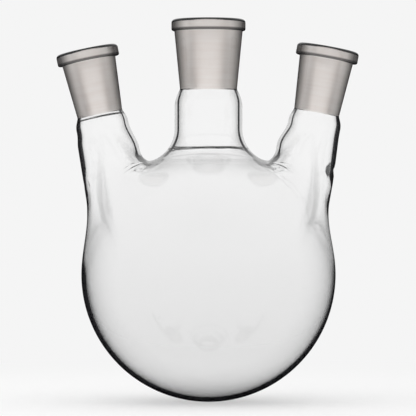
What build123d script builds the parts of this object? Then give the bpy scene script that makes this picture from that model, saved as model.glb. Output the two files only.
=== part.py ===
"""Three neck round bottom flask of 500 mL, one blown piece of borosilicate glass.

Millimetres, +Z up the centre neck, side necks along -X and +X, origin at the bulb's lowest point.
"""

import os

from build123d import *

os.makedirs("parts", exist_ok=True)

# Bulb
bulb_radius = 52.5
wall = 1.8

# Centre neck: a 24/29 ground socket on a plain tube, with the glass of each place around its bore
centre_neck_height = 53.0
centre_mouth_radius = 12.0
centre_joint_length = 29.0
centre_bead_height = 4.8
centre_bead_wall = 3.3
centre_under_bead_wall = 2.36
centre_joint_end_wall = 1.2
centre_tube_radius = 14.0
centre_shoulder_length = 4.6
centre_shoulder_blend = 11.0
centre_root_blend = 14.0

# Side necks: 19/26 ground sockets on tubes that swell as they run into the bulb
side_mouth_radius = 9.4
side_joint_length = 27.3
side_bead_height = 4.9
side_bead_wall = 3.5
side_under_bead_wall = 1.99
side_joint_end_wall = 1.36
side_tube_radius = 10.9
side_shoulder_blend = 7.0
side_tube_straight = 1.6
side_root_blend = 3.6
# Length of a side shoulder for each millimetre that it widens
side_shoulder_run = 2.4
# Lean of each side neck from upright, in degrees, and how far the centre of its mouth is from the
# axis of the bulb and above its top
left_lean = -11.8
left_mouth_reach = 50.45
left_mouth_rise = 40.5
right_lean = 10.4
right_mouth_reach = 49.6
right_mouth_rise = 41.3
# Foot of each side neck, drawn by hand: depth under the straight of the tube, and how far the tube
# swells beyond its radius there, on the side away from the centre neck
left_foot = ((3.8, 0.8), (14.8, 1.0), (24.8, 1.7), (34.8, 3.0), (44.8, 5.7), (54.8, 7.5))
right_foot = ((4.8, 0.1), (11.8, 0.2), (18.8, 0.8), (28.8, 0.9), (36.8, 2.0), (44.8, 4.2), (54.8, 6.5))

# Details that the three joints share: ground cones taper 1 in 10 on the diameter
joint_slope = 0.05
bead_top_round = 1.5
bead_foot_round = 0.7
lip_bevel = 0.4

# How deep the centre tube starts inside the bulb, and how far a cavity runs past its mouth
centre_root_depth = 12.0
overrun = 2.0

bulb_top = 2 * bulb_radius
centre_height = bulb_top + centre_neck_height
centre_bead_foot = centre_height - centre_bead_height
centre_joint_end = centre_height - centre_joint_length
centre_tube_top = centre_joint_end - centre_shoulder_length
centre_root = bulb_top - centre_root_depth
# A half turn about Z makes the left neck swell away from the centre neck, as the right one does
left_mouth = (-left_mouth_reach, 0, bulb_top + left_mouth_rise)
left_place = Location(left_mouth, (0, left_lean, 0)) * Location((0, 0, 0), (0, 0, 180))
right_mouth = (right_mouth_reach, 0, bulb_top + right_mouth_rise)
right_place = Location(right_mouth, (0, right_lean, 0))

# The ground bores at the beads' feet and at the joints' ends
centre_bead_bore = centre_mouth_radius - joint_slope * centre_bead_height
centre_end_bore = centre_mouth_radius - joint_slope * centre_joint_length
side_bead_bore = side_mouth_radius - joint_slope * side_bead_height
side_end_bore = side_mouth_radius - joint_slope * side_joint_length

# A side tube starts where its shoulder has widened to it, and runs straight to the top of its foot
side_widening = side_tube_radius - side_end_bore - side_joint_end_wall
side_tube_top = -side_joint_length - side_shoulder_run * side_widening
side_root = side_tube_top - side_tube_straight

# Turned outlines, from the top down: radius, height and rounding of each corner
centre_skin = (
    (centre_mouth_radius + centre_bead_wall, centre_height, bead_top_round),
    (centre_mouth_radius + centre_bead_wall, centre_bead_foot, bead_foot_round),
    (centre_bead_bore + centre_under_bead_wall, centre_bead_foot, 0),
    (centre_end_bore + centre_joint_end_wall, centre_joint_end, 0),
    (centre_tube_radius, centre_tube_top, centre_shoulder_blend),
)
centre_bore = (
    (centre_mouth_radius + lip_bevel + overrun, centre_height + overrun, 0),
    (centre_mouth_radius, centre_height - lip_bevel, 0),
    (centre_end_bore, centre_joint_end, 0),
    (centre_tube_radius - wall, centre_tube_top, centre_shoulder_blend - wall),
)
side_skin = (
    (side_mouth_radius + side_bead_wall, 0, bead_top_round),
    (side_mouth_radius + side_bead_wall, -side_bead_height, bead_foot_round),
    (side_bead_bore + side_under_bead_wall, -side_bead_height, 0),
    (side_end_bore + side_joint_end_wall, -side_joint_length, 0),
    (side_tube_radius, side_tube_top, side_shoulder_blend),
)
side_bore = (
    (side_mouth_radius + lip_bevel + overrun, overrun, 0),
    (side_mouth_radius, -lip_bevel, 0),
    (side_end_bore, -side_joint_length, 0),
    (side_tube_radius - wall, side_tube_top, side_shoulder_blend - wall),
)

# The flask's skin as a filled body, then its hollow: both are the same shape, a wall apart
bodies = []
for inset, centre_corners, side_corners in ((0, centre_skin, side_skin), (wall, centre_bore, side_bore)):
    # The turned part of a centre neck and of a side neck
    necks = []
    for corners, root in ((centre_corners, centre_root), (side_corners, side_root)):
        with BuildPart() as neck:
            with BuildSketch(Plane.YZ) as outline:
                with BuildLine():
                    Polyline(
                        (0, corners[0][1]),
                        *[(radius, height) for radius, height, rounding in corners],
                        (corners[-1][0], root),
                        (0, root),
                        close=True,
                    )
                make_face()
                for radius, height, rounding in corners:
                    if rounding:
                        corner = outline.vertices().sort_by_distance((radius, height)).first
                        fillet(corner, rounding)
            revolve(axis=Axis.Z)
        necks.append(neck.part)
    centre_neck, side_neck = necks

    # Side necks on their feet, straight towards the centre neck and swelling on the other side
    side_necks = []
    for swellings in (left_foot, right_foot):
        with BuildPart() as footed_neck:
            add(side_neck)
            for depth, swell in ((0, 0), *swellings):
                with BuildSketch(Plane.XY.offset(side_root - depth)):
                    with Locations((swell / 2, 0)):
                        Circle(side_tube_radius + swell / 2 - inset)
            loft()
        side_necks.append(footed_neck.part)

    # Bulb and necks, with the softly drawn roots that hot glass takes where tube meets bulb
    with BuildPart() as body:
        with Locations((0, 0, bulb_radius)):
            Sphere(bulb_radius - inset, rotation=(0, 0, 90))
        add(centre_neck)
        fillet(body.edges(Select.NEW).filter_by(GeomType.CIRCLE), centre_root_blend + inset)
        for place, footed_neck in zip((left_place, right_place), side_necks):
            with Locations(place):
                add(footed_neck)
            fillet(body.edges(Select.NEW).filter_by(GeomType.BSPLINE), side_root_blend + inset)
    bodies.append(body.part)
skin, hollow = bodies

# The blown piece
with BuildPart() as flask:
    add(skin)
    add(hollow, mode=Mode.SUBTRACT)
flask.part.label = "flask"

export_step(flask.part, "parts/flask.step")
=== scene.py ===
# %% [markdown]
# # A three neck flask in clear borosilicate glass
# The flask is a hollow ball of glass with three necks sealed to it in the flame. Each neck ends in a
# ground socket, whose inside is matt, under a thick bead. This lesson models the whole flask as one
# closed skin of glass, because light only bends rightly where the outer and the inner wall both exist.

# %% The frame, and the colour helper that every finish uses
import math

import bmesh
import bpy
import numpy as np
from mathutils import Matrix, Vector


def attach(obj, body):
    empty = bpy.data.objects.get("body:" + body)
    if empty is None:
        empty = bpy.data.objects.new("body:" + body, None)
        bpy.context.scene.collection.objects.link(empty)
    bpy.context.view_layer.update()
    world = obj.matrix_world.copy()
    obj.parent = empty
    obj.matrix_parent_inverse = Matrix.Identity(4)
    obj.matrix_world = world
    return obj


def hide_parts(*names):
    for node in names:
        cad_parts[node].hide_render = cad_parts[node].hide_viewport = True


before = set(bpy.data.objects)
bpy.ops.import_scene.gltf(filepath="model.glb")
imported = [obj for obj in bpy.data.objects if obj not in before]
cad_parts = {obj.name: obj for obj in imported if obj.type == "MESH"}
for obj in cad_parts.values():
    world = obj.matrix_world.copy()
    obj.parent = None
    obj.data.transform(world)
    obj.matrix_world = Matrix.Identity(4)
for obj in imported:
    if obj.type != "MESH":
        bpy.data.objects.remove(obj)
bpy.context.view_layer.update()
MM = 0.001


def linear(hex_colour):
    """An sRGB hex colour as the linear red, green, blue and alpha that shaders take."""
    parts = [int(hex_colour[i : i + 2], 16) / 255 for i in (1, 3, 5)]
    return [c / 12.92 if c <= 0.04045 else ((c + 0.055) / 1.055) ** 2.4 for c in parts] + [1.0]


# %% [markdown]
# ## The camera
# A tall narrow object is drawn with little perspective, so the camera stands well back with a long
# lens. It is level, a little above the middle of the bulb, so each mouth is seen slightly from below.

# %% Camera
CAMERA_DISTANCE = 1.3
FRAME_WIDTH = 0.1719
AIM = Vector((-0.0002, 0.0, 0.0800))

camera_data = bpy.data.cameras.new("studio_camera")
camera_data.sensor_width = 36.0
camera_data.lens = 36.0 * CAMERA_DISTANCE / FRAME_WIDTH
camera = bpy.data.objects.new("studio_camera", camera_data)
camera.location = AIM + Vector((0, -CAMERA_DISTANCE, 0))
camera.rotation_euler = (math.radians(90), 0, 0)
bpy.context.scene.collection.objects.link(camera)
bpy.context.scene.camera = camera
print("lens", round(camera_data.lens), "mm at", CAMERA_DISTANCE, "m")

# %% [markdown]
# ## Sizes of the glass
# All sizes are in millimetres. The bulb of a 500 mL flask is 105 mm across. The centre socket is a
# 24/29: 24 mm at the mouth, 29 mm long, narrowing 1 mm in 10. The side sockets are 19/26, and are
# ground a little deeper than the cone that they take.

# %% Sizes
BULB = 52.5
WALL = 1.8
BULB_CENTRE = np.array([0.0, 0.0, BULB])
STEPS_ROUND_BULB = 144
STEPS_ROUND_NECK = 96
LONGEST_RUN = 1.6

# Corners of a neck's outline, from its tube up over the bead and down its bore: radius, height, rounding
CENTRE_ROOT_BLEND = 14.0
CENTRE_OUTLINE = (
    (14.0, 124.4, 11.0),
    (11.75, 129.0, 2.0),
    (14.12, 153.2, 0.3),
    (15.3, 153.2, 0.7),
    (15.3, 158.0, 1.5),
    (12.0, 158.0, 0.4),
    (10.55, 129.0, 1.2),
    (12.2, 124.4, 9.0),
)
SIDE_JOINT_LENGTH = 27.3
SIDE_OUTLINE = (
    (10.9, -30.9, 7.0),
    (9.4, -SIDE_JOINT_LENGTH, 2.0),
    (11.15, -4.9, 0.5),
    (12.9, -4.9, 0.7),
    (12.9, 0.0, 1.5),
    (9.4, 0.0, 0.4),
    (8.05, -SIDE_JOINT_LENGTH, 1.0),
    (9.1, -30.9, 5.5),
)
FOOT_TOP = -33.1

# The side necks: mouth centre, lean in degrees and which way the foot swells. Then how much wider the
# foot is near its top and at its full depth, and that depth. Then how much wider it grows towards the
# centre neck, and over what run. Last, how broad its blend is on its outer and its inner side.
SIDE_NECKS = {
    "left": dict(
        mouth=(-50.45, 0, 145.5),
        lean=-11.8,
        turn=180,
        swell=(0.5, 2.1, 39.0),
        inward=(2.2, 11.0),
        blend=(7.0, 7.0),
    ),
    "right": dict(
        mouth=(49.6, 0, 146.3),
        lean=10.4,
        turn=0,
        swell=(-0.2, 1.0, 27.5),
        inward=(2.9, 10.0),
        blend=(6.0, 7.0),
    ),
}
for neck in SIDE_NECKS.values():
    place = Matrix.Translation(neck["mouth"]) @ Matrix.Rotation(math.radians(neck["lean"]), 4, "Y")
    neck["place"] = place @ Matrix.Rotation(math.radians(neck["turn"]), 4, "Z")
print("glass is", WALL, "mm thick;", len(SIDE_NECKS), "side necks")

# %% [markdown]
# ## Outlines to spin
# A glassblower turns the work in the flame, so most of a flask is a solid of revolution. An outline
# starts as a few corners joined by edges. A vertex bevel rounds each corner, and long runs are cut
# into short edges, so that the spun skin shades evenly.


# %% Rounded outlines
def outline(bm, corners):
    """Join corners (radius, height, rounding) with edges, round them, and cut long runs short."""
    line = [bm.verts.new((radius, 0, height)) for radius, height, rounding in corners]
    for low, high in zip(line, line[1:]):
        bm.edges.new((low, high))
    reaches = []
    for before, vert, after, corner in zip(line, line[1:], line[2:], corners[1:]):
        turn = (vert.co - before.co).angle(after.co - vert.co)
        reaches.append((vert, corner[2] * math.tan(turn / 2)))
    for vert, reach in reaches:
        bmesh.ops.bevel(
            bm, geom=[vert], offset=reach, segments=6, profile=0.5, affect="VERTICES", material=-1
        )
    for edge in list(bm.edges):
        cuts = math.ceil(edge.calc_length() / LONGEST_RUN) - 1
        if cuts > 0:
            bmesh.ops.subdivide_edges(bm, edges=[edge], cuts=cuts)


def arc(bm, start, centre, degrees, steps):
    """Turn a vertex about a centre in the XZ plane, leaving an arc of edges; returns its last vertex."""
    turned = bmesh.ops.spin(
        bm, geom=[start], cent=centre, axis=(0, 1, 0), angle=math.radians(degrees), steps=steps
    )
    return next(v for v in turned["geom_last"] if isinstance(v, bmesh.types.BMVert))


def spin_round(bm, steps):
    """Spin the whole outline a full turn about Z, and weld its seam and poles."""
    bmesh.ops.spin(
        bm,
        geom=bm.verts[:] + bm.edges[:],
        cent=(0, 0, 0),
        axis=(0, 0, 1),
        angle=math.tau,
        steps=steps,
        use_merge=True,
    )
    bmesh.ops.remove_doubles(bm, verts=bm.verts, dist=0.002)


print("outline helpers ready")

# %% [markdown]
# ## The bulb and the centre neck
# They share an axis, so one outline makes both: the neck's corners, a drawn arc on each side of the
# glass where the neck spreads into the bulb, and the bulb's own two arcs down to its lowest point.

# %% Bulb and centre neck
blend_x = CENTRE_OUTLINE[0][0] + CENTRE_ROOT_BLEND
blend_z = BULB + math.sqrt((BULB + CENTRE_ROOT_BLEND) ** 2 - blend_x**2)
root_polar = math.degrees(math.asin(blend_x / (BULB + CENTRE_ROOT_BLEND)))

glass = bmesh.new()
outline(
    glass,
    ((CENTRE_OUTLINE[0][0], blend_z, 0),) + CENTRE_OUTLINE + ((CENTRE_OUTLINE[-1][0], blend_z, 0),),
)
for end in [v for v in glass.verts if len(v.link_edges) == 1]:
    root_end = arc(glass, end, (blend_x, 0, blend_z), root_polar - 90, 40)
    arc(glass, root_end, (0, 0, BULB), 180 - root_polar, 72)
spin_round(glass, STEPS_ROUND_BULB)
print("bulb and centre neck:", len(glass.faces), "faces")

# %% [markdown]
# ## Where a side neck meets the bulb
# The glassblower opens a hole in the bulb, sets the hot tube on it and blows the seam smooth. Both
# skins of the seam are described here by how far a point is from them: the distance to the bulb and
# the distance to the swelling tube, run together over the width of the blend. The blend dies away
# before the centre neck's root, and before the far side of the bulb, which stay as they were spun.

# %% Distance to a blended skin
FLARE = 20.0
CENTRE_ROOT_POLAR = math.radians(25.4)
SETTLED_ANGLE = 1.05
FOOT_STARTS = 5.0
SWELL_STARTS = 5.8
PATCH_POLAR = math.radians(54.0)

for neck in SIDE_NECKS.values():
    side = math.copysign(1, neck["mouth"][0])
    neck["facing"] = Vector((side * math.sin(PATCH_POLAR), 0, math.cos(PATCH_POLAR)))


def fade(inside, width):
    """A soft step from 0 to 1 over a width."""
    part = np.clip(inside / width, 0, 1)
    return part * part * (3 - 2 * part)


def tube_reach(depth, neck, inset):
    """How far the tube's centre has moved outward, and its radius, at a depth under the joint."""
    near, deep, full_depth = neck["swell"]
    most, run = neck["inward"]
    along = np.clip((depth - FOOT_STARTS) / (full_depth - FOOT_STARTS), 0, 1)
    outward = fade(depth - SWELL_STARTS, 6.0) * (near + (deep - near) * along)
    inward = most * fade(depth - SWELL_STARTS, run)
    return (outward - inward) / 2, SIDE_OUTLINE[0][0] + (outward + inward) / 2 - inset


def skin_distance(points, neck, inset):
    """Signed distance of points from the bulb and side neck run together, inset by the wall or not."""
    to_bulb = np.linalg.norm(points - BULB_CENTRE, axis=1) - (BULB - inset)
    inverse = np.array(neck["place"].inverted())
    local = points @ inverse[:3, :3].T + inverse[:3, 3]
    moved, radius = tube_reach(-local[:, 2] - SIDE_JOINT_LENGTH, neck, inset)
    across = local[:, 0] - moved
    from_axis = np.hypot(across, local[:, 1])
    to_tube = from_axis - radius
    outward = (points - BULB_CENTRE) / np.linalg.norm(points - BULB_CENTRE, axis=1)[:, None]
    polar = np.arccos(np.clip(outward[:, 2], -1, 1))
    aside = np.arccos(np.clip(outward @ np.array(neck["facing"]), -1, 1))
    sideways = local[:, 1] / np.maximum(from_axis, 0.01)
    flare = FLARE * fade(polar - CENTRE_ROOT_POLAR, 0.2) * sideways**2
    # The outer side of the foot keeps its roundness
    flare *= 1 - 0.8 * fade(across - 1.0, 7.0)
    outer_blend, inner_blend = neck["blend"]
    away_from_centre = fade(local[:, 0] + 6.0, 12.0)
    breadth = inner_blend + (outer_blend - inner_blend) * away_from_centre + 1.3 * inset + flare
    shared = np.maximum(breadth - np.abs(to_bulb - to_tube), 0) / breadth
    shared *= fade(polar - CENTRE_ROOT_POLAR, 0.06) * fade(SETTLED_ANGLE - 0.05 - aside, 0.2)
    return np.minimum(to_bulb, to_tube) - shared**2 * breadth / 4


def settle(verts, neck, inset):
    """Move vertices onto the blended skin, down its slope."""
    points = np.array([v.co for v in verts], dtype=float)
    for _ in range(6):
        away = skin_distance(points, neck, inset)
        slope = np.empty_like(points)
        for axis in range(3):
            step = np.zeros(3)
            step[axis] = 0.01
            ahead = skin_distance(points + step, neck, inset)
            slope[:, axis] = (ahead - skin_distance(points - step, neck, inset)) / 0.02
        points -= (away / np.maximum((slope**2).sum(axis=1), 0.25))[:, None] * slope
    for vert, point in zip(verts, points):
        vert.co = point
    return np.abs(skin_distance(points, neck, inset)).max()


print("blend helpers ready")

# %% [markdown]
# ## The side necks
# Each side neck is spun upright and leaned over to its place. Its lower rims are drawn down onto the
# bulb, spread over it as far as the blend needs, cut into rows and settled on the blended skin. A
# round opening of the same size is cut in the bulb, and the two edges are bridged.

# %% Drawing a neck's foot down onto the bulb
OUTER_SKIN = 1
INNER_SKIN = 2
SETTLED = 10
PATCH_ANGLE = math.radians(26.6)
OPENING_ANGLE = math.radians(28.2)


def grow_rim(bm, rim, skin):
    """Extrude a rim of edges and mark it; returns the new rim and the edges between the two."""
    grown = bmesh.ops.extrude_edge_only(bm, edges=rim)["geom"]
    verts = {g for g in grown if isinstance(g, bmesh.types.BMVert)}
    edges = [e for e in grown if isinstance(e, bmesh.types.BMEdge)]
    new_rim = [e for e in edges if e.verts[0] in verts and e.verts[1] in verts]
    between = [e for v in verts for e in v.link_edges if e.other_vert(v) not in verts]
    for v in {v for e in between for v in e.verts}:
        v[bm.verts.layers.float["skin"]] = skin
    return new_rim, between


def drawn_foot(bm, rim, skin, down, facing, bulb):
    """Draw a tube's rim along it onto the bulb, then out over the bulb to a round edge."""
    seam, tube_runs = grow_rim(bm, rim, skin)
    for v in {v for e in seam for v in e.verts}:
        start = v.co - Vector(BULB_CENTRE)
        ahead = start.dot(down)
        v.co -= down * (ahead + math.sqrt(max(ahead**2 - start.length_squared + bulb**2, 0)))
    edge, bulb_runs = grow_rim(bm, seam, skin)
    for v in {v for e in edge for v in e.verts}:
        outward = (v.co - Vector(BULB_CENTRE)).normalized()
        sideways = (outward - facing * outward.dot(facing)).normalized()
        reach = facing * math.cos(PATCH_ANGLE) + sideways * math.sin(PATCH_ANGLE)
        v.co = Vector(BULB_CENTRE) + bulb * reach
    bmesh.ops.subdivide_edges(bm, edges=bulb_runs, cuts=13)
    bmesh.ops.subdivide_edges(bm, edges=tube_runs, cuts=46)


print("foot helpers ready")

# %% [markdown]
# Both rims of a spun neck are drawn down this way, the outer and the inner one. The neck then joins
# the bulb's mesh, the bulb is opened under it, and each opening is bridged to the foot's edge.

# %% Side necks


def on_bulb(vert, direction, reach, bulb):
    """Whether a vertex lies on a skin of the bulb within an angle of a direction."""
    away = vert.co - Vector(BULB_CENTRE)
    return abs(away.length - bulb) < 0.05 and away.angle(direction) < reach


for name, neck in SIDE_NECKS.items():
    facing = neck["facing"]
    down = neck["place"].to_3x3() @ Vector((0, 0, -1))

    tube = bmesh.new()
    tube.verts.layers.float.new("skin")
    outline(
        tube,
        ((SIDE_OUTLINE[0][0], FOOT_TOP, 0),) + SIDE_OUTLINE + ((SIDE_OUTLINE[-1][0], FOOT_TOP, 0),),
    )
    spin_round(tube, STEPS_ROUND_NECK)
    rims = [e for e in tube.edges if e.is_boundary]
    middle = SIDE_OUTLINE[0][0] - WALL / 2
    outer = [e for e in rims if e.verts[0].co.xy.length > middle]
    inner = [e for e in rims if e.verts[0].co.xy.length < middle]
    bmesh.ops.transform(tube, matrix=neck["place"], verts=tube.verts)
    drawn_foot(tube, outer, OUTER_SKIN, down, facing, BULB)
    drawn_foot(tube, inner, INNER_SKIN, down, facing, BULB - WALL)
    spun = bpy.data.meshes.new(name + "_neck")
    tube.to_mesh(spun)
    tube.free()
    glass.from_mesh(spun)
    bpy.data.meshes.remove(spun)

    for skin, inset in ((OUTER_SKIN, 0.0), (INNER_SKIN, WALL)):
        bulb = BULB - inset
        near = {v for v in glass.verts if on_bulb(v, facing, OPENING_ANGLE + 0.3, bulb)}
        faces = [f for f in glass.faces if all(v in near for v in f.verts)]
        marked = glass.verts.layers.float["skin"]
        faces = [f for f in faces if not any(v[marked] for v in f.verts)]
        geom = {g for f in faces for g in (f, *f.edges, *f.verts)}
        bmesh.ops.bisect_plane(
            glass,
            geom=list(geom),
            dist=0.001,
            plane_co=Vector(BULB_CENTRE) + facing * bulb * math.cos(OPENING_ANGLE),
            plane_no=facing,
            clear_outer=True,
        )
        open_edges = [e for e in glass.edges if e.is_boundary]
        loops = [e for e in open_edges if all(on_bulb(v, facing, 1.0, bulb) for v in e.verts)]
        bmesh.ops.bridge_loops(glass, edges=loops)
        marked = glass.verts.layers.float["skin"]
        loose = [
            v
            for v in glass.verts
            if v[marked] == skin
            or v[marked] == 0
            and on_bulb(v, facing, SETTLED_ANGLE, bulb)
            and (v.co - Vector(BULB_CENTRE)).angle(Vector((0, 0, 1))) > CENTRE_ROOT_POLAR
        ]
        off = settle(loose, neck, inset)
        for v in loose:
            v[marked] = skin + SETTLED
        print(name, "inset", inset, "loops", len(loops), "settled", len(loose), "off", round(off, 4))

# The centre neck's root and the crotches beside it are smoothed: rounds of smoothing for each
root = []
crotches = []
for v in glass.verts:
    away = v.co - Vector(BULB_CENTRE)
    if away.length < 60 and abs(away.angle(Vector((0, 0, 1)), 0) - 0.43) < 0.1:
        root.append(v)
    if 19 < abs(v.co.x) < 35 and 92 < v.co.z < 104 and abs(v.co.y) < 18:
        crotches.append(v)
for verts, rounds in ((root, 8), (crotches, 10)):
    for _ in range(rounds):
        bmesh.ops.smooth_vert(
            glass, verts=verts, factor=0.5, use_axis_x=True, use_axis_y=True, use_axis_z=True
        )

# Marks of the torch where the side necks were welded on: place, how far each reaches, and its push
WELD_MARKS = (
    ((49.2, 0.0, 95.6), 4.2, (-2.4, 0.0, 0.8)),
    ((51.9, 0.0, 94.2), 2.2, (0.35, 0.0, 0.0)),
    ((-50.9, 0.0, 89.7), 2.0, (0.6, 0.0, 0.0)),
)
for middle, reach, push in WELD_MARKS:
    for v in glass.verts:
        near = max(1 - (v.co - Vector(middle)).length_squared / reach**2, 0)
        v.co += Vector(push) * near**2
bmesh.ops.recalc_face_normals(glass, faces=glass.faces)
open_count = sum(1 for e in glass.edges if not e.is_manifold)
volume = round(glass.calc_volume() / 1000, 2)
print("glass:", len(glass.faces), "faces,", open_count, "open edges,", volume, "cm3")

# %% [markdown]
# ## From mesh to piece
# The skin is shaded smooth everywhere, also at the two edges of the ground zone, where the grinder's cone
# starts and stops. The glass inside each joint is its own finish, so those faces are marked by where they
# lie: on the bore, between the mouth and the end of the joint.

# %% The flask
GROUND = {"centre": (12.0, 29.0), "left": (9.4, SIDE_JOINT_LENGTH), "right": (9.4, SIDE_JOINT_LENGTH)}
JOINTS = {name: neck["place"] for name, neck in SIDE_NECKS.items()}
JOINTS["centre"] = Matrix.Translation((0, 0, CENTRE_OUTLINE[5][1]))

for name, place in JOINTS.items():
    mouth, length = GROUND[name]
    back = place.inverted()
    ground = 0
    for face in glass.faces:
        middle = back @ face.calc_center_median()
        bore = mouth + 0.05 * middle.z
        if -length - 0.1 < middle.z < -0.1 and abs(middle.xy.length - bore) < 0.25:
            face.material_index = 1
            ground += 1
    print(name, "joint:", ground, "ground faces")

# %% [markdown]
# The finishes need to know where on a neck they are. Each vertex keeps its place in its own neck's upright
# frame, how far it is above the seam of that neck, whether it curls tightly at the mouth, and whether it
# lies under the bead, where a painted shadow line goes. It keeps a painted backlight too: the plain tube of
# the centre neck and the inward sides of the side necks are painted bright in the outermost part of their
# walls, as if they caught light from behind. Two more are painted light as well: how far past total
# reflection a wall is painted bright, and how much of the pale card its inner skin is painted to mirror.

# %% Places for the finishes
# Each seam's height in its own neck's frame, and how many times finer than usual its line is drawn
SEAMS = {"centre": -53.5, "left": -28.7, "right": -99.0}
SEAM_SHARPNESS = {"centre": 1.0, "left": 1.8, "right": 1.0}
# How far past total reflection a wall is painted bright, a painted light, by height above the bulb's lowest
# point
PAINTED_WALL_LIGHT = {
    "left": (
        (45, 53, 62, 70, 76, 84, 92, 98),
        (0.0, 0.010, 0.022, 0.032, 0.05, 0.08, 0.06, 0.0),
    ),
    "right": (
        (8, 20, 38, 55, 64, 74, 89, 94),
        (0.0, 0.014, 0.024, 0.030, 0.033, 0.05, 0.1, 0.0),
    ),
}
# The painted wall brightness at which an inner skin is painted to mirror the card in full
FULL_CARD_MIRROR_LIGHT = 0.07
BEADS = {"centre": (12.0, 15.3, 4.8), "left": (9.4, 12.9, 4.9), "right": (9.4, 12.9, 4.9)}

layers = glass.verts.layers
neck_place = layers.float_vector.new("neck_place")
above_seam = layers.float.new("above_seam")
curl = layers.float.new("curl")
painted_bead_shadow = layers.float.new("painted_bead_shadow")
painted_backlight = layers.float.new("painted_backlight")
painted_wall_light = layers.float.new("painted_wall_light")
painted_card_mirror = layers.float.new("painted_card_mirror")
marked = layers.float["skin"]
backs = {name: place.inverted() for name, place in JOINTS.items()}
for vert in glass.verts:
    side = "left" if vert.co.x < 0 else "right"
    here = backs[side] @ vert.co
    name = side if here.xy.length < 24 and here.z > -75 else "centre"
    here = backs[name] @ vert.co
    bore, bead, height = BEADS[name]
    radius = here.xy.length
    vert[neck_place] = here
    vert[above_seam] = max(-9.0, min(9.0, (here.z - SEAMS[name]) * SEAM_SHARPNESS[name]))
    top = radius > bore - 0.1 and here.z > -1.3
    # Under the bead goes a painted shadow line
    foot = radius > bead - 1.4 and -height - 0.1 < here.z < -height + 0.75
    vert[curl] = 1.0 if top else 0.0
    vert[painted_bead_shadow] = 1.0 if foot else 0.0
    # Painted backlight: where the outermost part of a wall is painted bright
    if name == "centre":
        vert[painted_backlight] = float(fade(here.z + 68.0, 6.0) * fade(-29.5 - here.z, 2.0))
    else:
        inward = fade(0.5 - here.x / max(radius, 0.01), 1.0)
        vert[painted_backlight] = float(inward * fade(-28.0 - here.z, 2.0) * fade(here.z + 60.0, 15.0))
    reach, z = abs(vert.co.x), vert.co.z
    heights, amounts = PAINTED_WALL_LIGHT[side]
    vert[painted_wall_light] = float(np.interp(z, heights, amounts))
    # The bulb's inner skin: its roof, and walls painted bright, are painted to mirror the card, a painted
    # reflection
    if vert[marked] == INNER_SKIN + SETTLED or (vert.co - Vector(BULB_CENTRE)).length < BULB - WALL / 2:
        roof = float(fade(z - 76.0, 14.0) * fade(104.0 - z, 3.0) * fade(33.0 - reach, 6.0))
        vert[painted_card_mirror] = max(roof, min(vert[painted_wall_light] / FULL_CARD_MIRROR_LIGHT, 1.0))
        vert[painted_wall_light] = max(vert[painted_wall_light], FULL_CARD_MIRROR_LIGHT * roof)
print("places kept for", len(glass.verts), "vertices")

# %% The piece
bmesh.ops.scale(glass, vec=(MM, MM, MM), verts=glass.verts)
for face in glass.faces:
    face.smooth = True
flask_mesh = bpy.data.meshes.new("blown_flask")
glass.to_mesh(flask_mesh)
glass.free()
flask = bpy.data.objects.new("blown_flask", flask_mesh)
bpy.context.scene.collection.objects.link(flask)

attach(flask, "root")
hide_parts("flask")
print("blown_flask:", len(flask_mesh.polygons), "faces")

# %% [markdown]
# ## Materials
# One function adds a node, sets its settings and links or fills its inputs, so that each finish reads
# as a list of what it is made of.

# %% A node


def add(tree, kind, inputs=None, **settings):
    """Add a node of a kind with settings; each input is another node's output or a plain value."""
    node = tree.nodes.new("ShaderNode" + kind)
    for name, value in settings.items():
        setattr(node, name, value)
    for name, value in (inputs or {}).items():
        if isinstance(value, bpy.types.NodeSocket):
            tree.links.new(value, node.inputs[name])
        else:
            node.inputs[name].default_value = value
    return node


def new_finish(name):
    """An empty material for a finish, and its node tree."""
    material = bpy.data.materials.new(name)
    material.use_nodes = True
    material.node_tree.nodes.clear()
    return material, material.node_tree


print("node helper ready")

# %% [markdown]
# ## Borosilicate glass
# Clear laboratory glass shows almost only at its edges. A ray that grazes the wall is thrown back and forth
# inside it by total reflection and leaves sideways, where the room is dark, so each wall is drawn as a
# painted black line with a soft inner side. The mirror colour of the glass is a painted reflection: bright
# head on, as if it saw the white card, and painted dark towards grazing and inside the wall. Where the
# painted backlight is set, the outermost part of the wall is painted bright again, as if rays left it nearly
# straight on. A painted light narrows the dark inside the wall. Glass marked to mirror the card, and
# upward-facing glass, is painted in the card's tone, a painted reflection. Tight curls and the foot of each
# bead get painted dark lines, and the glass is painted a little darker towards the bottom.

# %% Clear glass


def ramp(tree, value, stops):
    """A colour ramp over a value, from (position, hex colour) stops."""
    node = add(tree, "ValToRGB", {"Fac": value})
    elements = node.color_ramp.elements
    for element, (position, colour) in zip(elements, (stops[0], stops[-1])):
        element.position, element.color = position, linear(colour)
    for position, colour in stops[1:-1]:
        elements.new(position).color = linear(colour)
    return node.outputs["Color"]


def blend(tree, share, first, second, **settings):
    """Two colours mixed by a share of the second."""
    return add(tree, "Mix", {"Factor": share, 6: first, 7: second}, data_type="RGBA", **settings).outputs[2]


borosilicate_glass, tree = new_finish("borosilicate_glass")
grazing = add(tree, "LayerWeight", {"Blend": 0.5}).outputs["Facing"]
painted_wall_light = add(tree, "Attribute", attribute_name="painted_wall_light").outputs["Fac"]
in_wall = add(tree, "Math", {0: grazing, 1: painted_wall_light}, operation="SUBTRACT").outputs[0]
painted_card_mirror = add(tree, "Attribute", attribute_name="painted_card_mirror").outputs["Fac"]
painted_backlight = add(tree, "Attribute", attribute_name="painted_backlight").outputs["Fac"]
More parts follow.
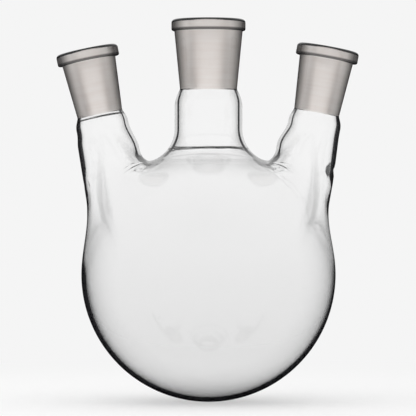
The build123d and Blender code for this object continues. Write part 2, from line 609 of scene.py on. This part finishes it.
# Painted reflection: the mirror colour by slant, for plain walls and for walls with the painted backlight
plain_side = ((0.32, "#F5F5F5"), (0.50, "#A8A8AA"), (0.62, "#58585A"), (0.80, "#2C2C2E"), (0.92, "#1A1A1C"))
bright_side = ((0.32, "#F5F5F5"), (0.50, "#8A8A8C"), (0.60, "#404042"), (0.68, "#707072"), (0.76, "#F5F5F5"))
painted_outer_reflection = blend(tree, painted_backlight, ramp(tree, grazing, plain_side), ramp(tree, grazing, bright_side))
in_plain_wall = ((0.14, "#F5F5F5"), (0.236, "#D0D0D0"), (0.256, "#1B1B1D"))
in_bright_wall = ((0.14, "#F5F5F5"), (0.24, "#1B1B1D"), (0.292, "#1B1B1D"), (0.312, "#F5F5F5"))
inside = blend(tree, painted_backlight, ramp(tree, in_wall, in_plain_wall), ramp(tree, grazing, in_bright_wall))
geometry = add(tree, "NewGeometry")
# Upward-facing glass is painted in the card's tone, a painted reflection lighter on top
up = add(tree, "SeparateXYZ", {0: geometry.outputs["Normal"]}).outputs["Z"]
painted_top_light = add(tree, "MapRange", {"Value": up, "From Min": 0.3, "From Max": 0.75}).outputs[0]
painted_card_share = add(tree, "Math", {0: painted_card_mirror, 1: painted_top_light}, operation="MAXIMUM").outputs[0]
painted_outer_reflection = blend(tree, painted_card_share, painted_outer_reflection, linear("#F5F5F5"))
painted_reflection_colour = blend(tree, geometry.outputs["Backfacing"], painted_outer_reflection, inside)
# Light that the ground zone scatters is thrown back to it whole
path = add(tree, "LightPath")
painted_reflection_colour = blend(tree, path.outputs["Is Diffuse Ray"], painted_reflection_colour, linear("#FFFFFF"))
mirror = add(tree, "BsdfGlossy", {"Color": painted_reflection_colour, "Roughness": 0.0})

# Tight curls at the beads are painted dark from any slant, as if they threw light off the card
curled = add(tree, "Attribute", attribute_name="curl")
start = add(tree, "MapRange", {"Value": curled.outputs["Fac"], "To Min": 0.97, "To Max": 0.04})
stop = add(tree, "MapRange", {"Value": curled.outputs["Fac"], "To Min": 1.0, "To Max": 0.22})
painted_curl_dark = add(
    tree,
    "MapRange",
    {"Value": grazing, "From Min": start.outputs[0], "From Max": stop.outputs[0]},
    interpolation_type="SMOOTHSTEP",
)

# The seam is a line about 0.5 mm wide that wanders by 0.3 mm and is fainter in places
spot = add(tree, "TexCoord")
wander = add(tree, "TexNoise", {"Vector": spot.outputs["Object"], "Scale": 90.0, "Detail": 1.0})
wandered = add(tree, "MapRange", {"Value": wander.outputs["Fac"], "To Min": -0.6, "To Max": 0.6})
seam = add(tree, "Attribute", attribute_name="above_seam")
off_seam = add(tree, "Math", {0: seam.outputs["Fac"], 1: wandered.outputs[0]}, operation="ADD")
off_seam = add(tree, "Math", {0: off_seam.outputs[0]}, operation="ABSOLUTE")
on_seam = add(
    tree,
    "MapRange",
    {"Value": off_seam.outputs[0], "From Min": 0.12, "From Max": 0.42, "To Min": 0.9, "To Max": 0.0},
    interpolation_type="SMOOTHSTEP",
)
patches = add(tree, "TexNoise", {"Vector": spot.outputs["Object"], "Scale": 70.0, "Detail": 1.0})
kept = add(
    tree, "MapRange", {"Value": patches.outputs["Fac"], "From Min": 0.35, "From Max": 0.5, "To Min": 0.3}
)
on_seam = add(tree, "Math", {0: on_seam.outputs[0], 1: kept.outputs[0]}, operation="MULTIPLY")
seam_and_painted_dark = add(tree, "Math", {0: painted_curl_dark.outputs[0], 1: on_seam.outputs[0]}, operation="MAXIMUM")
# Under the bead a painted shadow line darkens the glass
under = add(tree, "Attribute", attribute_name="painted_bead_shadow")
shaded = add(tree, "MapRange", {"Value": under.outputs["Fac"], "From Min": 0.55, "To Max": 0.8})
seam_and_painted_dark = add(tree, "Math", {0: seam_and_painted_dark.outputs[0], 1: shaded.outputs[0]}, operation="MAXIMUM")
# The clear tint is painted a little darker towards the bottom, a painted shade
height = add(tree, "SeparateXYZ", {0: spot.outputs["Object"]})
depth = add(tree, "MapRange", {"Value": height.outputs["Z"], "From Min": 0.0, "From Max": 0.1})
clear = blend(tree, depth.outputs[0], linear("#F8F8F8"), linear("#FFFFFF"))
# The painted dark at curls and under the bead, and the dark seam, share one tint
tint = blend(tree, seam_and_painted_dark.outputs[0], clear, linear("#151517"))
bent = add(tree, "BsdfRefraction", {"Color": tint, "Roughness": 0.0, "IOR": 1.47})
fresnel = add(tree, "Fresnel", {"IOR": 1.47})
surface = add(tree, "MixShader", {"Fac": fresnel.outputs["Fac"], 1: bent.outputs[0], 2: mirror.outputs[0]})
passing = add(tree, "BsdfTransparent", {"Color": linear("#FCFCFC")})
whole = add(
    tree, "MixShader", {"Fac": path.outputs["Is Shadow Ray"], 1: surface.outputs[0], 2: passing.outputs[0]}
)
add(tree, "OutputMaterial", {"Surface": whole.outputs[0]})
flask_mesh.materials.append(borosilicate_glass)
print(borosilicate_glass.name, "has", len(tree.nodes), "nodes")

# %% [markdown]
# ## Ground glass
# The sockets are ground with fine grit on a turning cone, which leaves a matt grey surface with faint rings
# round it. It scatters the light that goes through, and what it scatters past the critical angle stays in
# the wall, so the joint looks grey; its edges are painted darker still by slant, a painted shade. Part of
# the surface is fully matt: more of it near the mouth than at the joint's end, and most of it towards the
# sides.

# %% Ground glass
ground_glass, tree = new_finish("ground_glass")
place = add(tree, "Attribute", attribute_name="neck_place")
stretched = add(tree, "Mapping", {"Vector": place.outputs["Vector"], "Scale": (0.05, 0.05, 0.9)})
rings = add(tree, "TexNoise", {"Vector": stretched.outputs["Vector"], "Scale": 1.0, "Detail": 3.0})
clouds = add(tree, "TexNoise", {"Vector": place.outputs["Vector"], "Scale": 0.12, "Detail": 2.0})
mottle = add(
    tree, "Mix", {"Factor": 0.5, 2: rings.outputs["Fac"], 3: clouds.outputs["Fac"]}, data_type="FLOAT"
)
shade = ramp(tree, mottle.outputs[0], ((0.35, "#F8F3F0"), (0.62, "#FFFCFA")))
slant = add(tree, "LayerWeight", {"Blend": 0.5}).outputs["Facing"]
# Painted shade: the joint's colour darkens towards its edges by slant
painted_edge_shade = (
    (0.0, "#FFFFFF"),
    (0.15, "#FCFBFA"),
    (0.20, "#EEEDEC"),
    (0.25, "#CFCECC"),
    (0.32, "#979594"),
    (0.41, "#585655"),
)
mottle_and_painted_edge_shade = blend(tree, 1.0, shade, ramp(tree, slant, painted_edge_shade), blend_type="MULTIPLY")
bent = add(tree, "BsdfRefraction", {"Color": mottle_and_painted_edge_shade, "Roughness": 0.45, "IOR": 1.47})
mirror = add(tree, "BsdfGlossy", {"Color": linear("#D8D6D4"), "Roughness": 0.5})
fresnel = add(tree, "Fresnel", {"IOR": 1.47})
surface = add(tree, "MixShader", {"Fac": fresnel.outputs["Fac"], 1: bent.outputs[0], 2: mirror.outputs[0]})
front = add(tree, "BsdfDiffuse", {"Color": mottle_and_painted_edge_shade})
back = add(tree, "BsdfTranslucent", {"Color": mottle_and_painted_edge_shade})
scattered = add(tree, "MixShader", {"Fac": 0.5, 1: front.outputs[0], 2: back.outputs[0]})
along = add(tree, "SeparateXYZ", {0: place.outputs["Vector"]}).outputs["Z"]
cloudy = add(
    tree,
    "MapRange",
    {"Value": along, "From Min": -4.0, "From Max": -28.0, "To Min": 0.4, "To Max": 0.2},
)
sides = add(tree, "MapRange", {"Value": slant, "From Min": 0.03, "From Max": 0.13, "To Max": 0.9})
cloudy = add(tree, "Math", {0: cloudy.outputs[0], 1: sides.outputs[0]}, operation="MAXIMUM")
matt = add(tree, "MixShader", {"Fac": cloudy.outputs[0], 1: surface.outputs[0], 2: scattered.outputs[0]})
path = add(tree, "LightPath")
passing = add(tree, "BsdfTransparent", {"Color": linear("#F8F8F8")})
whole = add(
    tree, "MixShader", {"Fac": path.outputs["Is Shadow Ray"], 1: matt.outputs[0], 2: passing.outputs[0]}
)
add(tree, "OutputMaterial", {"Surface": whole.outputs[0]})
flask_mesh.materials.append(ground_glass)
print(ground_glass.name, "has", len(tree.nodes), "nodes")

# %% [markdown]
# ## The studio
# A pale floor under a pale wall, both of one tone. What the camera sees directly, mirrored or through
# the glass is that tone, and the light on the object comes evenly from all round with one soft lamp
# above it. Near the flask the floor is a real matt surface, which keeps the flask's faint shadow.

# %% World
BACKDROP = "#F5F5F5"

world = bpy.data.worlds.new("studio")
bpy.context.scene.world = world
world.use_nodes = True
tree = world.node_tree
tree.nodes.clear()
path = add(tree, "LightPath")
direct = path.outputs["Is Camera Ray"]
seen = add(tree, "Math", {0: direct, 1: path.outputs["Is Glossy Ray"]}, operation="MAXIMUM")
seen = add(tree, "Math", {0: seen.outputs[0], 1: path.outputs["Is Transmission Ray"]}, operation="MAXIMUM")
room = add(tree, "Background", {"Color": linear("#ECECEC"), "Strength": 1.0})
card = add(tree, "Background", {"Color": linear(BACKDROP), "Strength": 1.0})
shown = add(tree, "MixShader", {"Fac": seen.outputs[0], 1: room.outputs[0], 2: card.outputs[0]})
add(tree, "OutputWorld", {"Surface": shown.outputs[0]})
print("world ready")

# %% Floor
floor_bm = bmesh.new()
bmesh.ops.create_circle(floor_bm, cap_ends=True, radius=6.0, segments=96)
bmesh.ops.translate(floor_bm, vec=(0, 0, -0.0002), verts=floor_bm.verts)
floor_mesh = bpy.data.meshes.new("studio_floor")
floor_bm.to_mesh(floor_mesh)
floor_bm.free()
floor = bpy.data.objects.new("studio_floor", floor_mesh)
bpy.context.scene.collection.objects.link(floor)

matt_card, tree = new_finish("matt_card")
place = add(tree, "TexCoord")
away = add(tree, "VectorMath", {0: place.outputs["Object"]}, operation="LENGTH")
spread = add(
    tree,
    "MapRange",
    {"Value": away.outputs["Value"], "From Min": 0.08, "From Max": 0.35, "To Min": 0.1},
    interpolation_type="SMOOTHSTEP",
)
lit = add(tree, "BsdfDiffuse", {"Color": linear(BACKDROP)})
tone = add(tree, "Emission", {"Color": linear(BACKDROP), "Strength": 1.0})
surface = add(tree, "MixShader", {"Fac": spread.outputs[0], 1: lit.outputs[0], 2: tone.outputs[0]})
add(tree, "OutputMaterial", {"Surface": surface.outputs[0]})
floor_mesh.materials.append(matt_card)
print("floor ready")

# %% Lamp
lamp_data = bpy.data.lights.new("soft_lamp", "AREA")
lamp_data.shape = "DISK"
lamp_data.size = 1.2
lamp_data.energy = 6.0
lamp = bpy.data.objects.new("soft_lamp", lamp_data)
lamp.location = (-0.35, -0.5, 1.2)
lamp.rotation_euler = (Vector((0, 0, 0)) - lamp.location).to_track_quat("-Z", "Y").to_euler()
bpy.context.scene.collection.objects.link(lamp)
lamp.visible_glossy = False
lamp.visible_transmission = False
bpy.context.scene.view_settings.view_transform = "Standard"
print("lamp ready")
